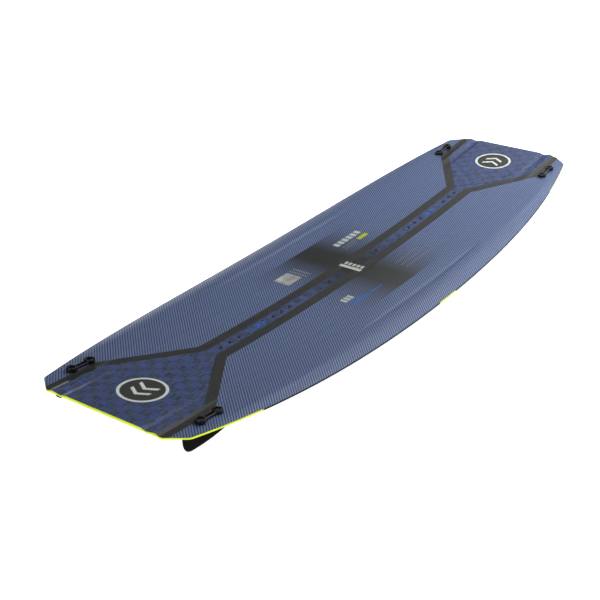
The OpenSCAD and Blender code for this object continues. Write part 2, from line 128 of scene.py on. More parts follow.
def quarter_outline():
    """Outline points and outward normals from mid length to the middle of the tip edge."""
    corner, tip = (CORNER_X, CORNER_HALF), (HALF_L, TIP_EDGE_HALF)
    turn = fillet((CORNER_X - 1, float(rail_y(CORNER_X - 1))), corner, tip, CORNER_RADIUS)
    tip_turn = fillet(corner, tip, (HALF_L, 0), TIP_RADIUS)
    rail = [(x, float(rail_y(x))) for x in np.linspace(0, turn[0][0], 140)[:-1]]
    cut = [turn[-1] + (tip_turn[0] - turn[-1]) * t for t in np.linspace(0, 1, 9)[1:-1]]
    edge = [(HALF_L, y) for y in np.linspace(tip_turn[-1][1], 0, 90)[1:]]
    points = np.array([*rail, *turn, *cut, *tip_turn, *edge], float)
    steps = unit(np.diff(points, axis=0))
    along = unit(np.vstack([[1.0, 0.0], steps[:-1] + steps[1:], [0.0, -1.0]]))
    return points, np.stack([-along[:, 1], along[:, 0]], 1)


OUTLINE, OUTWARD = quarter_outline()


def half_width(x, inset=0.0):
    """Half width of the board at x, measured to the outline moved inwards."""
    q = OUTLINE - OUTWARD * inset
    side = q[: int(np.argmax(q[:, 0] > q[:, 0].max() - 1e-6)) + 1]
    return np.interp(np.abs(x), side[:, 0], side[:, 1])


def thickness(x):
    return THICK_MID + arc_z(DECK_RISE, x) - arc_z(ROCKER, x)


def channel_at(x):
    return CHANNEL_D * np.maximum(0, x ** 2 - CHANNEL_START ** 2) / (HALF_L ** 2 - CHANNEL_START ** 2)


def rounded_step(t):
    """A straight slope from 0 to 1 with rounded creases at both ends."""
    return 0.55 * np.clip(t, 0, 1) + 0.45 * ease(t)


def channel_share(y):
    """0 on the deck's plain level and 1 on a channel floor: groove, ridge, outer zone."""
    a, b, c, d = CHANNEL_LINES
    y = np.abs(y)
    groove = rounded_step((y - a) / (b - a))
    ridge = rounded_step((y - b) / (c - b))
    return groove - ridge + rounded_step((y - c) / (d - c))


def lens_at(x, share):
    """Depth of the lens-shaped groove near each rail. It narrows towards both of its ends."""
    length = np.maximum(0, 1 - (x / LENS_HALF_L) ** 2)
    reach = (LENS_OUT - LENS_IN) / 2 * np.sqrt(length) + 1e-6
    across = np.abs(share - (LENS_IN + LENS_OUT) / 2) / reach
    return LENS_D * np.sqrt(length) * (1 - rounded_step(across))


def deck_z(x, y):
    x, y = np.asarray(x, float), np.asarray(y, float)
    share = (np.abs(y) - CHANNEL_LINES[3]) / (half_width(x) - CHANNEL_LINES[3])
    bevel = np.maximum(0, thickness(x) - channel_at(x) - THICK_EDGE)
    down = np.clip((share - BEVEL_START) / (1 - BEVEL_START), 0, 1)
    bevel = bevel * (0.6 * down + 0.4 * down ** 2)
    top = HULL_LOW + THICK_MID + arc_z(DECK_RISE, x)
    return top - channel_at(x) * channel_share(y) - lens_at(x, share) - bevel


def hull_z(x, y):
    return np.minimum(HULL_LOW + arc_z(ROCKER, x), deck_z(x, y) - THICK_EDGE)


def fin_matrix(end, side):
    """A fin's local frame: origin on the hull between its screws, +X to the board's tip."""
    place = Matrix.Translation((FIN_X, side * FIN_Y, HULL_LOW + float(arc_z(ROCKER, FIN_X))))
    return Matrix.Diagonal((end, 1, 1, 1)) @ place @ Matrix.Rotation(-FIN_TILT, 4, "Y")


def in_fin_frame(x, z):
    """Local X and Z, in the fin's frame, of a point at board x and height z."""
    dx, dz = x - FIN_X, z - HULL_LOW - arc_z(ROCKER, FIN_X)
    cos, sin = math.cos(FIN_TILT), math.sin(FIN_TILT)
    return dx * cos + dz * sin, dz * cos - dx * sin


WASHER_IN = in_fin_frame(FIN_X - 35, deck_z(FIN_X - 35, FIN_Y))
WASHER_OUT = in_fin_frame(FIN_X + 35, deck_z(FIN_X + 35, FIN_Y))
WASHER_SLOPE = (WASHER_OUT[1] - WASHER_IN[1]) / (WASHER_OUT[0] - WASHER_IN[0])
WASHER_Z = WASHER_IN[1] - WASHER_SLOPE * WASHER_IN[0]


# ---- mesh helpers -----------------------------------------------------------------------

def smooth_by_angle(mesh, degrees):
    mesh.polygons.foreach_set("use_smooth", [True] * len(mesh.polygons))
    mesh.set_sharp_from_angle(angle=math.radians(degrees))


def add_piece(name, points, faces, materials, body, slot, angle=35.0):
    """A mesh piece from points in millimetres. It rides on a CAD body."""
    mesh = bpy.data.meshes.new(name)
    mesh.from_pydata([tuple(p) for p in np.asarray(points, float) * M], [], faces)
    mesh.validate()
    obj = bpy.data.objects.new(name, mesh)
    bpy.context.scene.collection.objects.link(obj)
    smooth_by_angle(mesh, angle)
    for material in materials if isinstance(materials, (list, tuple)) else [materials]:
        mesh.materials.append(material)
    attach(obj, body)
    return obj


def grid_faces(rows, cols, first=0, flip=False, wrap=False):
    faces = []
    for i in range(rows - 1):
        for j in range(cols if wrap else cols - 1):
            a, b = first + i * cols + j, first + i * cols + (j + 1) % cols
            quad = (a, a + cols, b + cols, b)
            faces.append(quad[::-1] if flip else quad)
    return faces


def slab_mesh(upper, lower):
    """A closed solid between two grids of points of shape (rows, cols, 3)."""
    rows, cols = upper.shape[:2]
    n = rows * cols
    faces = grid_faces(rows, cols) + grid_faces(rows, cols, n, flip=True)
    rim = [i * cols for i in range(rows)] + [(rows - 1) * cols + j for j in range(1, cols)]
    rim += [i * cols + cols - 1 for i in range(rows - 2, -1, -1)] + list(range(cols - 2, 0, -1))
    for a, b in zip(rim, rim[1:] + rim[:1]):
        faces.append((b, a, a + n, b + n))
    return np.vstack([upper.reshape(-1, 3), lower.reshape(-1, 3)]), faces


def loft_mesh(rings):
    """A closed solid through rings of points. Both end rings are filled."""
    rings = np.asarray(rings, float)
    rows, cols = rings.shape[:2]
    faces = grid_faces(rows, cols, wrap=True)
    faces += [tuple(range(cols)), tuple(reversed(range((rows - 1) * cols, rows * cols)))]
    return rings.reshape(-1, 3), faces


def revolved(profile, sides, radius_at=None):
    """Rings around Z from (radius, z) pairs. radius_at changes a radius by angle and height."""
    rings = []
    for r, z in profile:
        ring = []
        for k in range(sides):
            a = 2 * math.pi * k / sides
            q = radius_at(r, z, a) if radius_at else r
            ring.append((q * math.cos(a), q * math.sin(a), z))
        rings.append(ring)
    return np.array(rings, float)


def moved(points, place):
    matrix = np.array(place)
    return np.asarray(points, float).reshape(-1, 3) @ matrix[:3, :3].T + matrix[:3, 3]


def temporary(points, faces):
    mesh = bpy.data.meshes.new("temporary")
    mesh.from_pydata([tuple(p) for p in np.asarray(points, float) * M], [], faces)
    obj = bpy.data.objects.new("temporary", mesh)
    bpy.context.scene.collection.objects.link(obj)
    return obj


def combine(obj, points, faces, operation, angle=35.0):
    """Adds, cuts or keeps what a throwaway mesh covers, and leaves a plain mesh."""
    cutter = temporary(points, faces)
    modifier = obj.modifiers.new("combine", "BOOLEAN")
    modifier.operation = operation
    modifier.solver = "EXACT"
    modifier.object = cutter
    evaluated = obj.evaluated_get(bpy.context.evaluated_depsgraph_get())
    result = bpy.data.meshes.new_from_object(evaluated)
    obj.modifiers.clear()
    old, cutter_mesh = obj.data, cutter.data
    name = old.name
    obj.data = result
    bpy.data.objects.remove(cutter)
    bpy.data.meshes.remove(old)
    bpy.data.meshes.remove(cutter_mesh)
    result.name = name
    smooth_by_angle(result, angle)


def rods(places, radius, length, sides=48):
    """Cylinders in one mesh. places are matrices in millimetres."""
    points, faces = [], []
    for place in places:
        first = len(points)
        ring = revolved([(radius, -length / 2), (radius, length / 2)], sides)
        points.extend(moved(ring, place))
        faces.append(tuple(range(first + sides - 1, first - 1, -1)))
        faces.append(tuple(range(first + sides, first + 2 * sides)))
        for k in range(sides):
            a, b = first + k, first + (k + 1) % sides
            faces.append((a, b, b + sides, a + sides))
    return points, faces


def prism(outline, low=-20.0, high=80.0):
    """An upright solid over a plan outline that runs anticlockwise."""
    n = len(outline)
    points = [(x, y, z) for z in (low, high) for x, y in outline]
    faces = [tuple(range(n - 1, -1, -1)), tuple(range(n, 2 * n))]
    faces += [(k, (k + 1) % n, (k + 1) % n + n, k + n) for k in range(n)]
    return points, faces


# ---- materials --------------------------------------------------------------------------

class Nodes:
    """A node tree as it is written: each call adds a node and returns its output."""

    def __init__(self, tree):
        self.tree = tree
        self.tree.nodes.clear()

    def add(self, kind, inputs=None, **settings):
        node = self.tree.nodes.new(kind)
        for key, value in settings.items():
            setattr(node, key, value)
        for key, value in (inputs or {}).items():
            self.feed(node.inputs[key], value)
        return node

    def feed(self, socket, value):
        if isinstance(value, bpy.types.NodeSocket):
            self.tree.links.new(value, socket)
        elif isinstance(value, (tuple, list)) and len(value) == 3 and socket.type == "RGBA":
            socket.default_value = (*value, 1.0)
        else:
            socket.default_value = value

    def math(self, operation, a, b=0.0, c=0.0):
        return self.add("ShaderNodeMath", {0: a, 1: b, 2: c}, operation=operation).outputs[0]

    def vmath(self, operation, a, b):
        node = self.add("ShaderNodeVectorMath", {0: a, 1: b}, operation=operation)
        return node.outputs["Value" if operation == "DOT_PRODUCT" else "Vector"]

    def blend(self, factor, a, b):
        return self.add("ShaderNodeMix", {0: factor, 2: a, 3: b}, data_type="FLOAT").outputs[0]

    def mix(self, factor, a, b, blend="MIX"):
        node = self.add("ShaderNodeMix", {0: factor, 6: a, 7: b}, data_type="RGBA", blend_type=blend)
        return node.outputs[2]

    def shade(self, color, amount):
        """A colour times a number."""
        grey = self.add("ShaderNodeCombineColor", {0: amount, 1: amount, 2: amount}).outputs[0]
        return self.mix(1.0, color, grey, "MULTIPLY")

    def ramp(self, value, low, high, to_low=0.0, to_high=1.0, smooth=False):
        kind = "SMOOTHSTEP" if smooth else "LINEAR"
        return self.add("ShaderNodeMapRange", {0: value, 1: low, 2: high, 3: to_low, 4: to_high},
                        interpolation_type=kind).outputs[0]

    def vector(self, x, y, z=0.0):
        return self.add("ShaderNodeCombineXYZ", {0: x, 1: y, 2: z}).outputs[0]

    def scaled(self, place, factors):
        return self.vector(*(self.math("MULTIPLY", a, b) for a, b in zip(place, factors)))

    def place(self):
        """X, Y and Z of the shaded point in millimetres, as the piece lies at rest."""
        at = self.add("ShaderNodeTexCoord").outputs["Object"]
        scaled = self.vmath("MULTIPLY", at, (1 / M, 1 / M, 1 / M))
        split = self.add("ShaderNodeSeparateXYZ", {0: scaled})
        return split.outputs[0], split.outputs[1], split.outputs[2]

    def noise(self, vector, scale=1.0, detail=2.0, roughness=0.5):
        return self.add("ShaderNodeTexNoise", {"Vector": vector, "Scale": scale, "Detail": detail,
                                               "Roughness": roughness}).outputs[0]

    def random(self, value):
        return self.add("ShaderNodeTexWhiteNoise", {"W": value}, noise_dimensions="1D").outputs["Value"]

    def bump(self, height, distance, strength=1.0):
        return self.add("ShaderNodeBump", {"Height": height, "Distance": distance * M,
                                           "Strength": strength}).outputs[0]


class Finish(Nodes):
    """A surface material."""

    def __init__(self, name):
        self.material = bpy.data.materials.new(name)
        self.material.use_nodes = True
        super().__init__(self.material.node_tree)

    def done(self, color, roughness, normal=None, **inputs):
        node = self.add("ShaderNodeBsdfPrincipled", {"Base Color": color, "Roughness": roughness})
        for key, value in inputs.items():
            self.feed(node.inputs[key.replace("_", " ")], value)
        if normal is not None:
            self.feed(node.inputs["Normal"], normal)
        out = self.add("ShaderNodeOutputMaterial")
        self.tree.links.new(node.outputs[0], out.inputs["Surface"])
        return self.material


def srgb(r, g, b):
    """Linear colour from display values of 0 to 255."""
    return tuple(((c / 255 + 0.055) / 1.055) ** 2.4 for c in (r, g, b))


TOW = 1.53
CELL_X, CELL_Y = 16.2, 17.9
PANEL_HALF_W = 119.4


def twill(s, x, y, light, dark, pitch=TOW):
    """2 by 2 twill whose ribs rise towards +X and +Y, with painted shade across each rounded tow.
    Returns colour, height and which tow.
    """
    u, v = s.math("DIVIDE", x, pitch), s.math("DIVIDE", y, pitch)
    i, j = s.math("FLOOR", u), s.math("FLOOR", v)
    phase = s.math("FRACT", s.math("MULTIPLY", s.math("SUBTRACT", i, j), 0.25))
    lengthwise = s.math("LESS_THAN", phase, 0.5)
    across = s.blend(lengthwise, s.math("FRACT", u), s.math("FRACT", v))
    side = s.math("ABSOLUTE", s.math("MULTIPLY_ADD", across, 2.0, -1.0))
    crown = s.math("SUBTRACT", 1.0, s.math("POWER", side, 2.0))
    tow = s.blend(lengthwise, i, s.math("ADD", j, 5000.0))
    tone = s.math("MULTIPLY_ADD", s.random(tow), 0.22, 0.89)
    # painted shade: each tow is lighter on its crown and darker towards its sides, as light falls on a
    # rounded tow; the darkest edge also stands for the joint between tows
    tone = s.math("MULTIPLY", tone, s.math("MULTIPLY_ADD", crown, 0.34, 0.76))
    return s.shade(s.mix(lengthwise, dark, light), tone), crown, lengthwise


def centre_panel(s, x, y, lengthwise):
    """Strength of the charcoal panel at mid length, which fades out through the weave."""
    fade = s.ramp(s.math("ABSOLUTE", x), 27.0, 215.0, 1.0, 0.0)
    fade = s.math("POWER", fade, s.blend(lengthwise, 1.5, 2.1))
    return s.math("MULTIPLY", fade, s.math("LESS_THAN", s.math("ABSOLUTE", y), PANEL_HALF_W))


def deck_twill():
    s = Finish("deck_twill")
    x, y, z = s.place()
    color, crown, lengthwise = twill(s, x, y, srgb(114, 134, 179), srgb(47, 58, 83))
    # painted light: the charcoal panel is lighter towards −Y, the side the key light falls on, and
    # darker towards +Y
    charcoal = s.mix(s.ramp(y, -PANEL_HALF_W, 10.0), srgb(56, 59, 59), srgb(32, 35, 35))
    # painted shade across each rounded tow, as in the weave
    charcoal = s.shade(charcoal, s.math("MULTIPLY_ADD", crown, 0.2, 0.85))
    color = s.mix(centre_panel(s, x, y, lengthwise), color, charcoal)
    rough = s.ramp(s.noise(s.vector(x, y), 0.006), 0.3, 0.7, 0.34, 0.42)
    return s.done(color, rough, s.bump(crown, 0.05, 0.6), Coat_Weight=0.25, Coat_Roughness=0.2)


def spread_tow():
    """Chequered spread tow: blue squares with fibres along Y, grey ones with fibres along X."""
    s = Finish("spread_tow")
    x, y, z = s.place()
    wobble = s.math("MULTIPLY_ADD", s.noise(s.vector(x, y), 0.09, 2.0), 1.6, -0.8)
    u = s.math("DIVIDE", s.math("ADD", x, wobble), CELL_X)
    v = s.math("ADD", s.math("DIVIDE", s.math("SUBTRACT", y, wobble), CELL_Y), 0.5)
    i, j = s.math("FLOOR", u), s.math("FLOOR", v)
    odd = s.math("FLOORED_MODULO", s.math("ADD", i, j), 2.0)
    crosswise = s.math("GREATER_THAN", odd, 0.5)

    def streaks(rate_x, rate_y, tow):
        place = s.vector(s.math("MULTIPLY", x, rate_x), s.math("MULTIPLY", y, rate_y), tow)
        return s.noise(place, 1.0, 4.0, 0.7)

    along_y, along_x = streaks(0.45, 0.04, j), streaks(0.04, 0.45, i)
    blue = s.mix(s.ramp(along_y, 0.36, 0.66), srgb(33, 47, 94), srgb(70, 92, 150))
    grey = s.mix(s.ramp(along_x, 0.36, 0.66), srgb(34, 43, 63), srgb(96, 110, 136))
    edge_u = s.math("ABSOLUTE", s.math("MULTIPLY_ADD", s.math("FRACT", u), 2.0, -1.0))
    edge_v = s.math("ABSOLUTE", s.math("MULTIPLY_ADD", s.math("FRACT", v), 2.0, -1.0))
    seam = s.ramp(s.math("MAXIMUM", edge_u, edge_v), 0.9, 1.0, 1.0, 0.86)
    color = s.shade(s.mix(crosswise, grey, blue), seam)
    panel = s.math("POWER", s.ramp(s.math("ABSOLUTE", x), 27.0, 215.0, 1.0, 0.0), 1.8)
    color = s.mix(panel, color, srgb(38, 41, 42))
    fibres = s.blend(crosswise, along_x, along_y)
    tangent = s.vector(s.math("SUBTRACT", 1.0, crosswise), crosswise)
    shine = s.blend(panel, s.blend(crosswise, 0.12, 0.5), 0.35)
    return s.done(color, 0.36, s.bump(fibres, 0.06, 0.5), Anisotropic=0.7, Tangent=tangent,
                  Specular_IOR_Level=shine, Coat_Weight=0.25, Coat_Roughness=0.12)


SPLAY = (TAPE_TIP_Y - TAPE_Y) / (TAPE_TURN_X - TAPE_BEND_X)
TURN_SHIFT = TAPE_W * math.tan(math.atan(SPLAY) / 2)


def carbon():
    """Unidirectional tape in three lengths, which meet at mitred folds."""
    s = Finish("carbon")
    x, y, z = s.place()
    along, side = s.math("ABSOLUTE", x), s.math("ABSOLUTE", y)
    lean = TURN_SHIFT / TAPE_W
    bend = s.math("MULTIPLY_ADD", s.math("SUBTRACT", side, TAPE_Y), lean, along)
    turn = s.math("MULTIPLY_ADD", s.math("SUBTRACT", side, TAPE_TIP_Y), lean, along)
    past_bend = s.math("GREATER_THAN", bend, TAPE_BEND_X)
    past_turn = s.math("GREATER_THAN", turn, TAPE_TURN_X)
    splayed = s.math("MULTIPLY", past_bend, s.math("SUBTRACT", 1.0, past_turn))
    offset = s.math("MULTIPLY", s.math("SUBTRACT", along, TAPE_BEND_X), SPLAY)
    square = s.math("MULTIPLY", s.math("SUBTRACT", side, offset), math.cos(math.atan(SPLAY)))
    across = s.blend(splayed, side, square)
    run = s.math("MULTIPLY", along, 0.02)
    fibres = s.noise(s.vector(run, s.math("MULTIPLY", across, 1.4), past_turn), 1.0, 4.0, 0.65)
    color = s.mix(s.ramp(fibres, 0.3, 0.7), srgb(33, 35, 33), srgb(54, 56, 53))
    return s.done(color, 0.38, s.bump(fibres, 0.05, 0.5), Coat_Weight=0.35, Coat_Roughness=0.14)


def hull_print():
    """Deep blue laminate, darker down the middle, with a bright line along each side of that."""
    s = Finish("hull_glass")
    x, y, z = s.place()
    color, crown, lengthwise = twill(s, x, y, srgb(52, 66, 108), srgb(24, 30, 48))
    side, along = s.math("ABSOLUTE", y), s.math("ABSOLUTE", x)
    wave = s.math("MULTIPLY_ADD", along, 0.1, 48.0)
    color = s.mix(s.math("MULTIPLY", s.math("LESS_THAN", side, wave), 0.8), color, srgb(32, 35, 38))
    line = s.math("LESS_THAN", s.math("ABSOLUTE", s.math("SUBTRACT", side, wave)), 2.2)
    line = s.math("MULTIPLY", line, s.math("GREATER_THAN", along, 70.0))
    color = s.mix(line, color, srgb(196, 216, 20))
    return s.done(color, 0.26, s.bump(crown, 0.04, 0.4), Coat_Weight=0.5, Coat_Roughness=0.1)


def moulded(name, color, roughness, grain=0.03, coat=0.0, glow=0.0):
    """Moulded or sawn plastic: fine grain in the surface and a broad change of tone, plus a painted
    glow from emission where glow is given.
    """
    s = Finish(name)
    x, y, z = s.place()
    fine = s.noise(s.vector(x, y, z), 0.9, 3.0, 0.6)
    broad = s.noise(s.vector(x, y, z), 0.03, 2.0)
    tone = s.shade(color, s.ramp(broad, 0.35, 0.65, 0.93, 1.09))
    rough = s.ramp(fine, 0.3, 0.7, roughness - 0.05, roughness + 0.06)
    return s.done(tone, rough, s.bump(fine, grain, 0.5), Coat_Weight=coat, Coat_Roughness=0.08,
                  Emission_Color=tone, Emission_Strength=glow)


def metal(name, color, roughness, shine=1.0):
    """Turned metal with fine rings around its axis."""
    s = Finish(name)
    x, y, z = s.place()
    turned = s.noise(s.scaled((x, y, z), (0.3, 0.3, 8.0)), 1.0, 3.0)
    tone = s.shade(color, s.ramp(turned, 0.3, 0.7, 0.85, 1.1))
    rough = s.ramp(turned, 0.3, 0.7, roughness - 0.06, roughness + 0.08)
    return s.done(tone, rough, s.bump(turned, 0.02, 0.4), Metallic=shine)


def wood():
    """Strips of light wood laid side by side."""
    s = Finish("core_wood")
    x, y, z = s.place()
    strip = s.math("FLOOR", s.math("DIVIDE", y, 22.0))
    grain = s.vector(s.math("MULTIPLY", x, 0.01), s.math("MULTIPLY", y, 0.5), strip)
    rings = s.noise(grain, 1.0, 4.0, 0.6)
    light = s.mix(s.random(strip), srgb(214, 188, 142), srgb(196, 166, 118))
    color = s.mix(s.ramp(rings, 0.35, 0.65), light, srgb(172, 138, 92))
    return s.done(color, 0.7, s.bump(rings, 0.1, 0.5))


def ink(name, color, weave=0.25):
    """Print on the weave: the cloth's ribs still show through it."""
    s = Finish(name)
    x, y, z = s.place()
    tone, crown, lengthwise = twill(s, x, y, (1.0, 1.0, 1.0), (1 - weave,) * 3)
    return s.done(s.mix(1.0, color, tone, "MULTIPLY"), 0.4, s.bump(crown, 0.03, 0.5), Coat_Weight=0.3,
                  Coat_Roughness=0.2)


def foil():
    """Silver foil with soft creases, bumped, whose light and shade are also painted into its colour."""
    s = Finish("foil")
    x, y, z = s.place()
    creases = s.noise(s.vector(x, y), 0.05, 2.0, 0.4)
    # painted shade and reflection: the foil turns lighter and darker with the crease noise
    color = s.mix(s.ramp(creases, 0.35, 0.65), srgb(150, 152, 150), srgb(214, 216, 212))
    return s.done(color, 0.42, s.bump(creases, 1.2, 0.5), Metallic=0.35)


DECK, SPREAD, CARBON, HULL, WOOD = deck_twill(), spread_tow(), carbon(), hull_print(), wood()
# painted glow: the emission makes the bright rails brighter than the lamps light them
NEON = moulded("bright_rail", srgb(214, 232, 0), 0.42, glow=0.22)
DARK_RAIL = moulded("dark_rail", srgb(40, 42, 42), 0.45)
FIN = moulded("fin_plastic", srgb(15, 16, 17), 0.36, 0.05)
GLOSS = moulded("washer_plastic", srgb(20, 21, 22), 0.24, coat=1.0)
CUP = moulded("insert_plastic", srgb(22, 22, 23), 0.5)
SLEEVE = moulded("sleeve_plastic", srgb(218, 216, 206), 0.5)
STEEL = metal("insert_metal", srgb(120, 122, 124), 0.34, 0.5)
BRASS = metal("brass", srgb(186, 150, 84), 0.35)
OXIDE = metal("screw_steel", srgb(54, 55, 58), 0.36)
BADGE_INK = ink("badge_ink", srgb(230, 236, 228), 0.05)
LIGHT_INK = ink("light_ink", srgb(196, 202, 196), 0.1)
DARK_INK = ink("dark_ink", srgb(52, 55, 53), 0.2)
GREY_INK = ink("grey_ink", srgb(150, 158, 164), 0.4)
BLUE_INK = ink("blue_ink", srgb(24, 112, 214), 0.15)
YELLOW_INK = ink("yellow_ink", srgb(190, 200, 30), 0.3)
FOIL = foil()


# ---- skins and plies --------------------------------------------------------------------

def spaced(a, b, step):
    return np.linspace(a, b, max(2, int(round(abs(b - a) / step)) + 1))


def sheet_grid(inset, step):
    """Plan points of a whole-board sheet, with lines along the channels and the rails."""
    last = HALF_L - inset
    plain, rim = CORNER_X - 12, last - 3
    stations = [spaced(0, plain, step), spaced(plain, rim, 1.6), spaced(rim, last, 0.5)]
    half = np.unique(np.round(np.concatenate(stations), 4))
    xs = np.concatenate([-half[:0:-1], half])
    a, b, c, d = CHANNEL_LINES
    inner = np.concatenate([np.linspace(0, a - 3, 12)[:-1], np.linspace(a - 3, d + 2, 33)])
    shares = np.concatenate([np.linspace(0, 0.34, 6)[1:], np.linspace(0.34, 0.64, 17)[1:],
                             np.linspace(0.64, 0.94, 9)[1:]])
    rows = []
    for x in xs:
        edge = float(half_width(x, inset))
        outer = min(float(half_width(x)) - d, (edge - d - 0.3) / shares[-1])
        shift = min(1.0, (d + 0.3 * outer * shares[0]) / inner[-1])
        ys = np.concatenate([inner * shift, d + shares * outer, [edge]])
        rows.append(np.concatenate([-ys[:0:-1], np.maximum.accumulate(ys)]))
    ys = np.array(rows)
    return np.dstack([np.repeat(xs[:, None], ys.shape[1], 1), ys])


def sheet_mesh(grid, surface, low, high):
    """A closed sheet between two offsets from the deck's or the hull's surface."""
    z = surface(grid[..., 0], grid[..., 1])
    return slab_mesh(np.dstack([grid, z + high]), np.dstack([grid, z + low]))


def upright(x, y=0.0):
    return Matrix.Translation((x, y, HULL_LOW + 20))


def screw_places():
    return [fin_matrix(end, side) @ Matrix.Translation((u * FIN_PITCH / 2, 0, 0))
            for end in ENDS.values() for side in SIDES.values() for u in (-1, 1)]


def mirrored_ends(half):
    """A plan outline for both halves of the board, from the outline of its +X half."""
    return [(x, y) for x, y in half] + [(-x, y) for x, y in reversed(half)]


def build_skins(grid):
    sheet = sheet_mesh(grid, deck_z, -LAMINATE, 0)
    deck = add_piece("deck_laminate", *sheet, DECK, "board", "deck_twill")
    combine(deck, *rods([upright(x) for x in INSERT_XS], BUSH_R + GLUE, 60), "DIFFERENCE")
    combine(deck, *rods(screw_places(), HOLE_R, 60, 32), "DIFFERENCE")
    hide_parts("top_laminate")
    sheet = sheet_mesh(grid, hull_z, 0, LAMINATE)
    hull = add_piece("hull_laminate", *sheet, HULL, "board", "hull_glass")
    combine(hull, *rods(screw_places(), HOLE_R, 60, 32), "DIFFERENCE")
    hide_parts("bottom_laminate")


def build_plies(grid):
    past = HALF_L + 10
    ply = sheet_mesh(grid, deck_z, GAP, GAP + PLY)
    edge = [(0, TAPE_Y), (TAPE_BEND_X, TAPE_Y), (TAPE_TURN_X, TAPE_TIP_Y), (past, TAPE_TIP_Y)]
    upper = [(x, y - GAP) for x, y in edge[1:]]
    spread = add_piece("spread_tow", *ply, SPREAD, "board", "spread_tow")
    combine(spread, *prism(mirrored_ends([(x, -y) for x, y in upper] + upper[::-1])), "INTERSECT")
    combine(spread, *rods([upright(x) for x in INSERT_XS], BUSH_R + GLUE, 60), "DIFFERENCE")
    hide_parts("spread_tow_ply")
    outer = [(past, TAPE_TIP_Y + TAPE_W), (TAPE_TURN_X - TURN_SHIFT, TAPE_TIP_Y + TAPE_W),
             (TAPE_BEND_X - TURN_SHIFT, TAPE_Y + TAPE_W)]
    for side_name, side in SIDES.items():
        tape = add_piece(f"tape_{side_name}", *ply, CARBON, "board", "carbon")
        outline = mirrored_ends(edge[1:] + outer)
        outline = outline if side > 0 else [(x, -y) for x, y in reversed(outline)]
        combine(tape, *prism(outline), "INTERSECT")
        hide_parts(f"carbon_tape_{side_name}")


# ---- rails --------------------------------------------------------------------------------

def rail_ring(q, n):
    """A rail's section at outline point q with outward normal n: a rounded lip and a tongue."""
    def at(inset, top, dz):
        x, y = q - n * inset
        return x, y, float(deck_z(x, y) if top else hull_z(x, y)) + dz
    skin = LAMINATE + 1.6 * GLUE
    lip = RAIL_LIP - GLUE
    roll = min(0.5, lip)
    turns = [math.radians(a) for a in (0, 22, 45, 68, 90)]
    ring = [at(roll * (1 - math.cos(a)), False, roll * (1 - math.sin(a))) for a in reversed(turns)]
    ring += [at(roll * (1 - math.cos(a)), True, -roll * (1 - math.sin(a))) for a in turns]
    ring += [at(lip, True, -0.02), at(lip, True, -skin), at(RAIL_W - GLUE, True, -skin),
             at(RAIL_W - GLUE, False, skin), at(lip, False, skin), at(lip, False, 0.02)]
    return ring


def rail_rings(x0, x1):
    """Rings along the +Y side of the outline between two places along the board."""
    side = OUTLINE[:, 0]
    rings = []
    for x in (x0, x1):
        y = float(half_width(x))
        k = int(np.argmin(np.abs(side[:120] - x)))
        rings.append((x, rail_ring(np.array([x, y]), OUTWARD[k])))
    inner = [(q[0], rail_ring(q, n)) for q, n in zip(OUTLINE, OUTWARD) if x0 + 1 < q[0] < x1 - 1]
    return [rings[0][1]] + [ring for _, ring in inner] + [rings[1][1]]


def placed(rings, end, side):
    rings = np.array(rings, float) * [end, side, 1]
    return rings if end * side > 0 else rings[:, ::-1]


def build_rails():
    for end_name, end in ENDS.items():
        for side_name, side in SIDES.items():
            corner = f"{end_name}_{side_name}"
            rings = placed(rail_rings(MID_RAIL_HALF, TIP_RAIL_X), end, side)
            name = f"rail_side_{corner}"
            rail = add_piece(name, *loft_mesh(rings), DARK_RAIL, "board", "dark_rail", 50)
            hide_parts(f"side_rail_{corner}")
        first = rail_rings(TIP_RAIL_X, TIP_RAIL_X + 3)[:1]
        rest = [rail_ring(q, n) for q, n in zip(OUTLINE, OUTWARD) if q[0] > TIP_RAIL_X + 1]
        quarter = np.array(first + rest)
        around = np.concatenate([quarter, quarter[-2::-1] * [1, -1, 1]])
        around = placed(around, end, 1)
        rail = add_piece(f"rail_tip_{end_name}", *loft_mesh(around), NEON, "board", "bright_rail", 50)
        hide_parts(f"tip_rail_{end_name}")
    for side_name, side in SIDES.items():
        half = np.array(rail_rings(0, MID_RAIL_HALF))
        rings = placed(np.concatenate([half[:0:-1] * [-1, 1, 1], half]), 1, side)
        rail = add_piece(f"rail_mid_{side_name}", *loft_mesh(rings), NEON, "board", "bright_rail", 50)
        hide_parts(f"mid_rail_{side_name}")


# ---- fins and their hardware ----------------------------------------------------------------

def fin_edge(u):
    """Depth of the fin's lower edge: a flattened quarter ellipse on each side of the deepest point."""
    if u > FIN_DEEPEST:
        share, power = (u - FIN_DEEPEST) / (FIN_TIP_REACH - FIN_DEEPEST), 2.6
    else:
        share, power = (FIN_DEEPEST - u) / (FIN_DEEPEST + FIN_INNER_REACH), 2.1
    return -FIN_DEPTH * (1 - min(1.0, share) ** power) ** (1 / power)


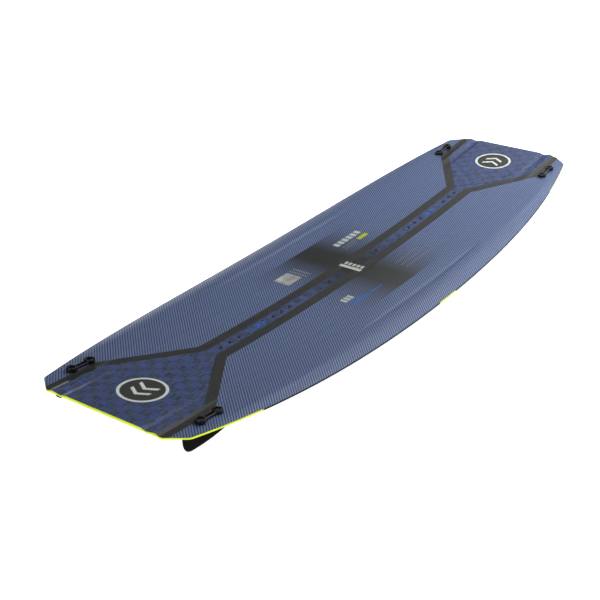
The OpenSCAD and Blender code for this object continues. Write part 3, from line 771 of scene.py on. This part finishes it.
def fin_mesh():
    """A foil that is thick at the hull and thins to a rounded edge all around its outline."""
    hull_x = np.linspace(FIN_X - 110, FIN_X + 90, 60)
    hull_u, hull_v = in_fin_frame(hull_x, HULL_LOW + arc_z(ROCKER, hull_x))
    tail_l, nose_l = FIN_DEEPEST + FIN_INNER_REACH, FIN_TIP_REACH - FIN_DEEPEST
    tail = [FIN_DEEPEST - tail_l * math.cos(a) for a in np.linspace(0, math.pi / 2, 44)]
    nose = [FIN_DEEPEST + nose_l * math.sin(a) for a in np.linspace(0, math.pi / 2, 26)[1:]]
    us = np.array(tail + nose)
    low = np.array([(u, fin_edge(u)) for u in us])
    top_us = np.linspace(us[0], us[-1], len(us))
    top = np.array([(u, np.interp(u, hull_u, hull_v) - 2 * GAP) for u in top_us])
    low[0], low[-1] = top[0] - [0, 0.2], top[-1] - [0, 0.2]
    shares = np.concatenate([np.linspace(0, 1, 9) ** 2 * 0.12, np.linspace(0.12, 1, 12)[1:]])
    side = np.array([low + (top - low) * t for t in shares])
    flat = side.reshape(-1, 2)
    a, b = low[:-1], low[1:]
    d = b - a
    t = np.clip(((flat[:, None] - a) * d).sum(2) / (d * d).sum(1), 0, 1)
    gap = np.linalg.norm(flat[:, None] - a - d * t[..., None], axis=2).min(1).reshape(side.shape[:2])
    depth = np.clip(-side[..., 1] / FIN_DEPTH, 0, 1)
    wedge = FIN_BASE_T / 2 + (FIN_EDGE_T / 2 - FIN_BASE_T / 2) * depth
    middle = (FIN_TIP_REACH - FIN_INNER_REACH) / 2
    reach = (FIN_TIP_REACH + FIN_INNER_REACH) / 2
    lens = 1 - 0.62 * ((side[..., 0] - middle) / reach) ** 2
    near = np.clip(1 - gap / 5.0, 0, 1)
    half = wedge * lens * np.sqrt(1 - near ** 2)
    left = np.dstack([side[..., 0], half, side[..., 1]])
    right = left * [1, -1, 1]
    rows, cols = left.shape[:2]
    n = rows * cols
    points = np.vstack([left.reshape(-1, 3), right.reshape(-1, 3)])
    faces = grid_faces(rows, cols) + grid_faces(rows, cols, n, flip=True)
    last = (rows - 1) * cols
    faces += [(last + j, last + j + n, last + j + n + 1, last + j + 1) for j in range(cols - 1)]
    for j in (0, cols - 1):
        for i in range(1, rows - 1):
            quad = (i * cols + j, (i + 1) * cols + j, (i + 1) * cols + j + n, i * cols + j + n)
            faces.append(quad if j else quad[::-1])
        tri = (j, cols + j, cols + j + n)
        faces.append(tri if j else tri[::-1])
    return points, faces


def weld(mesh):
    """Joins points that coincide and makes all faces look outwards."""
    bm = bmesh.new()
    bm.from_mesh(mesh)
    bmesh.ops.remove_doubles(bm, verts=bm.verts, dist=1e-6)
    bmesh.ops.dissolve_degenerate(bm, edges=bm.edges, dist=1e-7)
    bmesh.ops.recalc_face_normals(bm, faces=bm.faces)
    bm.to_mesh(mesh)
    bm.free()


def build_fins():
    points, faces = fin_mesh()
    for end_name, end in ENDS.items():
        for side_name, side in SIDES.items():
            name = f"fin_{end_name}_{side_name}"
            place = fin_matrix(end, side)
            fin = add_piece(name + "_foil", moved(points, place), faces, FIN, name, "fin_plastic", 40)
            weld(fin.data)
            bores = [place @ Matrix.Translation((u * FIN_PITCH / 2, 0, 0)) for u in (-1, 1)]
            combine(fin, *rods(bores, FIN_BUSH_R + 0.02, 2 * FIN_BUSH_L), "DIFFERENCE", 40)
            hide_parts(name)


def boss_rings():
    """One boss of a washer plate: fluted outside, rolled rim, recess and screw hole."""
    flutes = 10

    def scalloped(r, z, a):
        if r < HEAD_R + 1.2:
            return r
        wave = max(0.0, math.cos(a * flutes)) ** 1.5
        lower = min(1.0, max(0.0, (z - 1.0) / 1.2))
        return r - 1.3 * wave * lower * min(1.0, (r - HEAD_R - 1.0) / 2.0)

    rim = [(BOSS_R - 0.9 + 0.9 * math.cos(a), BOSS_H - 0.9 + 0.9 * math.sin(a))
           for a in np.linspace(0, math.pi / 2, 6)]
    lip = [(HEAD_R + 1.1 - 0.5 * math.sin(a), BOSS_H - 0.5 + 0.5 * math.cos(a))
           for a in np.linspace(0, math.pi / 2, 5)]
    profile = [(HOLE_R, -3), (BOSS_R, -3), (BOSS_R, 0.6), (BOSS_R, 1.0), (BOSS_R, 1.6), (BOSS_R, 2.2),
               (BOSS_R, 4.0)] + rim + [(7.2, BOSS_H)] + lip + [(HEAD_R + 0.6, WASHER_FLOOR + 0.3),
               (HEAD_R + 0.3, WASHER_FLOOR), (HOLE_R, WASHER_FLOOR)]
    return revolved(profile, 120, scalloped)


def bridge_mesh():
    """The waisted bar between the bosses, with rounded top edges."""
    rings = []
    for x in np.linspace(-FIN_PITCH / 2, FIN_PITCH / 2, 25):
        half = 5.4 - 0.9 * math.cos(math.pi * x / FIN_PITCH) ** 2
        height = BRIDGE_H + 0.6 + 0.6 * (2 * x / FIN_PITCH) ** 2
        turns = [math.radians(a) for a in (0, 30, 60, 90)]
        top = [(x, half - 0.9 + 0.9 * math.cos(a), height - 0.9 + 0.9 * math.sin(a)) for a in turns]
        ring = [(x, -half, -3), (x, half, -3)] + top + [(x, -p[1], p[2]) for p in reversed(top)]
        rings.append(ring[::-1])
    return loft_mesh(rings)


def block(low, high):
    """A box as a cutter."""
    outline = [(low[0], low[1]), (high[0], low[1]), (high[0], high[1]), (low[0], high[1])]
    return prism(outline, low[2], high[2])


def build_washers():
    rings = boss_rings()
    rows, cols = rings.shape[:2]
    faces = grid_faces(rows, cols, wrap=True)
    last = (rows - 1) * cols
    faces += [(last + k, k, (k + 1) % cols, last + (k + 1) % cols) for k in range(cols)]
    spots = [Matrix.Translation((u * FIN_PITCH / 2, 0, 0)) for u in (-1, 1)]
    plate = temporary(moved(rings, spots[0]), faces)
    weld(plate.data)
    bridge = bridge_mesh()
    combine(plate, moved(rings, spots[1]), faces, "UNION")
    combine(plate, *bridge, "UNION")
    for spot in spots:
        recess = spot @ Matrix.Translation((0, 0, WASHER_FLOOR + 10))
        combine(plate, *rods([recess], HEAD_R + 0.3, 20), "DIFFERENCE")
    combine(plate, *rods(spots, HOLE_R, 40), "DIFFERENCE")
    half_l, half_w = BRIDGE_SLOT
    combine(plate, *block((-half_l, -half_w, SLOT_FLOOR), (half_l, half_w, 20)), "DIFFERENCE")
    under = 2 * GAP + PLY
    corners = [(x, y, z) for x in (-50, 50) for y in (-20, 20) for z in (-20, under + WASHER_SLOPE * x)]
    deck = [(0, 1, 3, 2), (4, 6, 7, 5), (0, 4, 5, 1), (2, 3, 7, 6), (0, 2, 6, 4), (1, 5, 7, 3)]
    combine(plate, corners, deck, "DIFFERENCE")
    local = np.array([v.co for v in plate.data.vertices]) / M + [0, 0, WASHER_Z]
    polygons = [tuple(p.vertices) for p in plate.data.polygons]
    for end_name, end in ENDS.items():
        for side_name, side in SIDES.items():
            name = f"{end_name}_{side_name}"
            faces = polygons if end > 0 else [p[::-1] for p in polygons]
            points = moved(local, fin_matrix(end, side))
            washer = add_piece(f"washer_plate_{name}", points, faces, GLOSS, f"washer_{name}",
                               "washer_plastic", 40)
            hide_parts(f"fin_washer_{name}")
    bpy.data.objects.remove(plate)


def screw_rings():
    """A pan-head screw around Z, with its seat at z = 0, and a real thread on its shank."""
    pitch, depth, sides = 1.0, 0.55, 24
    seat = WASHER_Z + WASHER_FLOOR + GAP
    bottom = -seat - SCREW_GRIP

    def threaded(r, z, a):
        if z > -0.8 or r < SCREW_R - 0.01:
            return r
        t = (z / pitch - a / (2 * math.pi)) % 1.0
        return r - depth * abs(2 * t - 1) * min(1.0, (z - bottom) / 1.0, (-0.8 - z) / 1.0)

    shank = [(SCREW_R, z) for z in np.arange(bottom + 0.8, -0.8, pitch / 6)]
    roll = 1.3
    crown = [(HEAD_R - roll + roll * math.cos(a), HEAD_H - roll + roll * math.sin(a))
             for a in np.linspace(0, math.pi / 2, 7)]
    profile = [(0.01, bottom), (SCREW_R - 0.8, bottom), (SCREW_R, bottom + 0.8)] + shank
    profile += [(SCREW_R, -0.4), (SCREW_R, 0), (HEAD_R - 0.3, 0), (HEAD_R, 0.3)]
    profile += crown + [(0.01, HEAD_H)]
    return revolved(profile, sides * 2, threaded), seat


def build_screws():
    rings, seat = screw_rings()
    points, faces = loft_mesh(rings)
    for end_name, end in ENDS.items():
        for side_name, side in SIDES.items():
            for which, u in (("inner", -1), ("outer", 1)):
                name = f"{end_name}_{side_name}_{which}"
                place = fin_matrix(end, side) @ Matrix.Translation((u * FIN_PITCH / 2, 0, seat))
                turned = faces if end < 0 else [f[::-1] for f in faces]
                screw = add_piece(f"screw_{name}", moved(points, place), turned, OXIDE, f"screw_{name}",
                                  "screw_steel", 40)
                weld(screw.data)
                cutter = place @ Matrix.Translation((0, 0, HEAD_H - SOCKET_DEPTH + 5))
                combine(screw, *rods([cutter], SOCKET_R, 10, 6), "DIFFERENCE", 30)
                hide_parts(f"fin_screw_{name}")


# ---- prints ---------------------------------------------------------------------------------

class Print:
    """Thin patches of ink that lie on the deck, gathered into one piece."""

    def __init__(self, name, low, high=None):
        self.name, self.low, self.high = name, low, high or low + 0.04
        self.points, self.faces, self.kinds = [], [], []

    def add(self, points, faces, kind):
        first = len(self.points)
        self.points.extend(points)
        self.faces.extend(tuple(first + k for k in face) for face in faces)
        self.kinds.extend([kind] * len(faces))

    def quad(self, corners, kind=0):
        """A patch with four plan corners, split up so that it follows the deck."""
        a, b, c, d = (np.array(p, float) for p in corners)
        nu = max(2, int(max(np.linalg.norm(b - a), np.linalg.norm(c - d)) / 5) + 2)
        nv = max(2, int(max(np.linalg.norm(d - a), np.linalg.norm(c - b)) / 5) + 2)
        u, v = np.linspace(0, 1, nu)[:, None, None], np.linspace(0, 1, nv)[None, :, None]
        grid = (a * (1 - u) + b * u) * (1 - v) + (d * (1 - u) + c * u) * v
        self.add(*sheet_mesh(grid, deck_z, self.low, self.high), kind)

    def bar(self, x0, x1, y0, y1, kind=0):
        self.quad([(x0, y0), (x1, y0), (x1, y1), (x0, y1)], kind)

    def ring(self, cx, r0, r1, kind=0, sides=72):
        """A flat ring on the centre line, or a disc where r0 is 0."""
        radii = np.linspace(max(r0, 0.01), r1, max(2, int((r1 - r0) / 5) + 2))
        a = np.linspace(0, 2 * math.pi, sides, endpoint=False)
        grid = np.dstack([cx + radii[:, None] * np.cos(a), radii[:, None] * np.sin(a)])
        z = deck_z(grid[..., 0], grid[..., 1])
        rows = len(radii)
        n = rows * sides
        points = np.vstack([np.dstack([grid, z + dz]).reshape(-1, 3) for dz in (self.high, self.low)])
        faces = grid_faces(rows, sides, wrap=True) + grid_faces(rows, sides, n, flip=True, wrap=True)
        for k in range(sides):
            m = (k + 1) % sides
            faces.append((k, m, m + n, k + n))
            k, m = k + n - sides, m + n - sides
            faces.append((m, k, k + n, m + n))
        self.add(points, faces, kind)

    def chevron(self, cx, half, reach, width, kind=0):
        """An arrow head that points along X by reach, over half a height on each side."""
        for side in (1, -1):
            tail, tip = (cx - reach, side * half), (cx, 0)
            corners = [tail, (tail[0] + width, tail[1]), (tip[0] + width, 0), tip]
            self.quad(corners if side < 0 else corners[::-1], kind)

    def build(self, materials):
        piece = add_piece(self.name, self.points, self.faces, materials, "board", "deck_twill", 20)
        piece.data.polygons.foreach_set("material_index", self.kinds)
        weld(piece.data)
        return piece


ON_DECK = 0.04
ON_PLY = GAP + PLY + 0.04
BADGE_R, BADGE_RING = 40.5, 5.0
LIGHT, SILVER, GREY, BLUE, YELLOW = range(5)


def build_badges():
    """A ringed disc at each tip, with two plain arrow heads."""
    for end_name, end in ENDS.items():
        badge = Print(f"badge_{end_name}", ON_PLY)
        cx = end * (FIN_X - 1)
        badge.ring(cx, BADGE_R - BADGE_RING, BADGE_R, 0)
        badge.ring(cx, 0, BADGE_R - BADGE_RING - 0.1, 1)
        badge.low, badge.high = badge.high + 0.01, badge.high + 0.05
        for step in (-8, 12):
            badge.chevron(cx + end * step, 19, end * 12, end * 7, 0)
        badge.build([BADGE_INK, DARK_INK])


def build_labels():
    """Plain stand-ins for the labels around mid length: blocks, bars and a foil square."""
    labels = Print("mid_labels", ON_DECK)
    labels.bar(-143, -99, 52, 87, SILVER)
    for x in (-92, -80):
        for j in range(7):
            labels.bar(x, x + 5, 48 + 6 * j, 52 + 6 * j, GREY)
    for k in range(3):
        labels.bar(-141 + 10.5 * k, -133.5 + 10.5 * k, -74, -60, LIGHT)
    labels.bar(-141, -90, -83, -81, BLUE)
    labels.bar(-141, -39, -88.6, -86.6, BLUE)
    for k in range(6):
        labels.bar(57 + 15 * k, 67.5 + 15 * k, 71, 85, LIGHT)
    labels.bar(57, 104, 60.2, 61.8, GREY)
    labels.bar(57, 98, 52.2, 53.6, GREY)
    labels.bar(111, 144, 53, 63, YELLOW)
    for y in (-62, -75, -87):
        for k in range(11):
            labels.bar(57 + 8 * k, 61.5 + 8 * k, y - 0.8, y + 0.8, GREY)
    labels.build([LIGHT_INK, FOIL, GREY_INK, BLUE_INK, YELLOW_INK])
    middle = Print("middle_label", ON_PLY)
    middle.bar(-15, -5, -24, 24, 0)
    for k in range(5):
        middle.bar(-1.5, 9, -21.5 + 9 * k, -15.5 + 9 * k, 0)
    middle.build([LIGHT_INK])
    for end_name, end in ENDS.items():
        mark = Print(f"stance_mark_{end_name}", ON_PLY)
        cx = end * 302
        mark.chevron(cx - 8, 7, 7, 6, 0)
        mark.bar(cx + 6, cx + 19, -1.2, 1.2, 0)
        mark.build([BLUE_INK])


def finish_node(name, material):
    """Gives a CAD node that stays in view its own material."""
    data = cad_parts[name].data
    data.materials.clear()
    data.materials.append(material)


def finish_cad_nodes():
    finish_node("core", WOOD)
    finish_node("fin_hole_sleeves", SLEEVE)
    finish_node("handle_insert_cups", CUP)
    finish_node("handle_insert_bushes", STEEL)
    for end_name in ENDS:
        finish_node(f"strap_insert_cups_{end_name}", CUP)
        finish_node(f"strap_insert_bushes_{end_name}", STEEL)
        for side_name in SIDES:
            finish_node(f"fin_bushes_{end_name}_{side_name}", BRASS)


# ---- stage ----------------------------------------------------------------------------------

# the floor lies under the fins even when they have dropped off the hull
FLOOR_DROP = 45.0
FLOOR_GLOW = 1.18
# the camera's place is in metres, measured from the deck's middle
CAMERA_LENS = 67.7
CAMERA_PLACE = (-1.6794, -1.0429, 0.9456)
CAMERA_FORWARD = (0.72926, 0.50758, -0.45884)
CAMERA_RIGHT = (0.56898, -0.82233, -0.00537)


def build_floor():
    s = Finish("floor")
    x, y, z = s.place()
    color = s.mix(s.noise(s.vector(x, y), 0.01), (0.86, 0.86, 0.86), (0.9, 0.9, 0.9))
    glossy = s.add("ShaderNodeLightPath").outputs["Is Glossy Ray"]
    color = s.mix(glossy, color, (0.03, 0.03, 0.03))
    size, level = 30.0, -FLOOR_DROP * M
    corners = [(-size, -size, level), (size, -size, level), (size, size, level), (-size, size, level)]
    mesh = bpy.data.meshes.new("floor")
    mesh.from_pydata(corners, [], [(0, 1, 2, 3)])
    mesh.materials.append(s.done(color, 0.9, Specular_IOR_Level=0.1, Emission_Color=color,
                                 Emission_Strength=FLOOR_GLOW))
    shader, out = s.tree.nodes["Principled BSDF"], s.tree.nodes["Material Output"]
    clear = s.add("ShaderNodeBsdfTransparent").outputs[0]
    below = s.add("ShaderNodeNewGeometry").outputs["Backfacing"]
    seen = s.add("ShaderNodeMixShader", {0: below, 1: shader.outputs[0], 2: clear})
    s.tree.links.new(seen.outputs[0], out.inputs["Surface"])
    floor = bpy.data.objects.new("floor", mesh)
    bpy.context.scene.collection.objects.link(floor)


def build_world():
    """Even white light. Reflections see a dimmer room that brightens towards one soft box."""
    world = bpy.data.worlds.new("studio")
    bpy.context.scene.world = world
    world.use_nodes = True
    s = Nodes(world.node_tree)
    direction = s.add("ShaderNodeTexCoord").outputs["Generated"]

    def patch(toward, wide, narrow, strength):
        """A soft round light, in degrees from its middle to its dark edge and to its bright core."""
        facing = s.vmath("DOT_PRODUCT", direction, tuple(Vector(toward).normalized()))
        edge, core = math.cos(math.radians(wide)), math.cos(math.radians(narrow))
        return s.ramp(facing, edge, core, 0.0, strength, smooth=True)

    height = s.add("ShaderNodeSeparateXYZ", {0: direction}).outputs[2]
    low = s.ramp(height, 0.12, 0.07, smooth=True)
    strip = s.math("MULTIPLY", low, patch((0.7, 0.7, 0.0), 45, 30, 2.2))
    seen = s.math("ADD", patch((0.77, 0.0, 0.64), 33, 6, 1.1), strip)
    seen = s.math("ADD", seen, patch((-0.25, 0.15, 0.95), 15, 11, 6.0))
    seen = s.math("ADD", seen, 0.015)
    path = s.add("ShaderNodeLightPath")
    plain = s.blend(path.outputs["Is Camera Ray"], 0.28, 1.0)
    strength = s.blend(path.outputs["Is Glossy Ray"], plain, seen)
    background = s.add("ShaderNodeBackground", {0: (1.0, 1.0, 1.0), 1: strength})
    out = s.add("ShaderNodeOutputWorld")
    s.tree.links.new(background.outputs[0], out.inputs["Surface"])


def soft_light(name, place, size, power):
    light = bpy.data.lights.new(name, "AREA")
    light.shape = "RECTANGLE"
    light.size, light.size_y = size
    light.energy = power
    obj = bpy.data.objects.new(name, light)
    bpy.context.scene.collection.objects.link(obj)
    obj.location = place
    obj.rotation_euler = Vector(place).to_track_quat("Z", "Y").to_euler()
    obj.visible_glossy = False


def build_camera():
    data = bpy.data.cameras.new("camera")
    data.lens, data.sensor_width, data.clip_end = CAMERA_LENS, 36.0, 60.0
    camera = bpy.data.objects.new("camera", data)
    bpy.context.scene.collection.objects.link(camera)
    forward = Vector(CAMERA_FORWARD).normalized()
    right = Vector(CAMERA_RIGHT).normalized()
    up = right.cross(forward).normalized()
    turn = Matrix((forward.cross(up), up, -forward)).transposed().to_4x4()
    place = Vector(CAMERA_PLACE) + Vector((0, 0, (HULL_LOW + THICK_MID) * M))
    camera.matrix_world = Matrix.Translation(place) @ turn
    bpy.context.scene.camera = camera


SHEET = sheet_grid(RAIL_LIP, 8.0)
build_skins(SHEET)
build_plies(SHEET)
build_rails()
build_fins()
build_washers()
build_screws()
build_badges()
build_labels()
finish_cad_nodes()
build_floor()
build_world()
soft_light("key", (1.05, -0.6, 1.2), (1.2, 1.2), 28)
soft_light("fill", (-1.8, -1.6, 1.8), (1.6, 1.6), 3)
build_camera()
bpy.context.scene.view_settings.view_transform = "Standard"
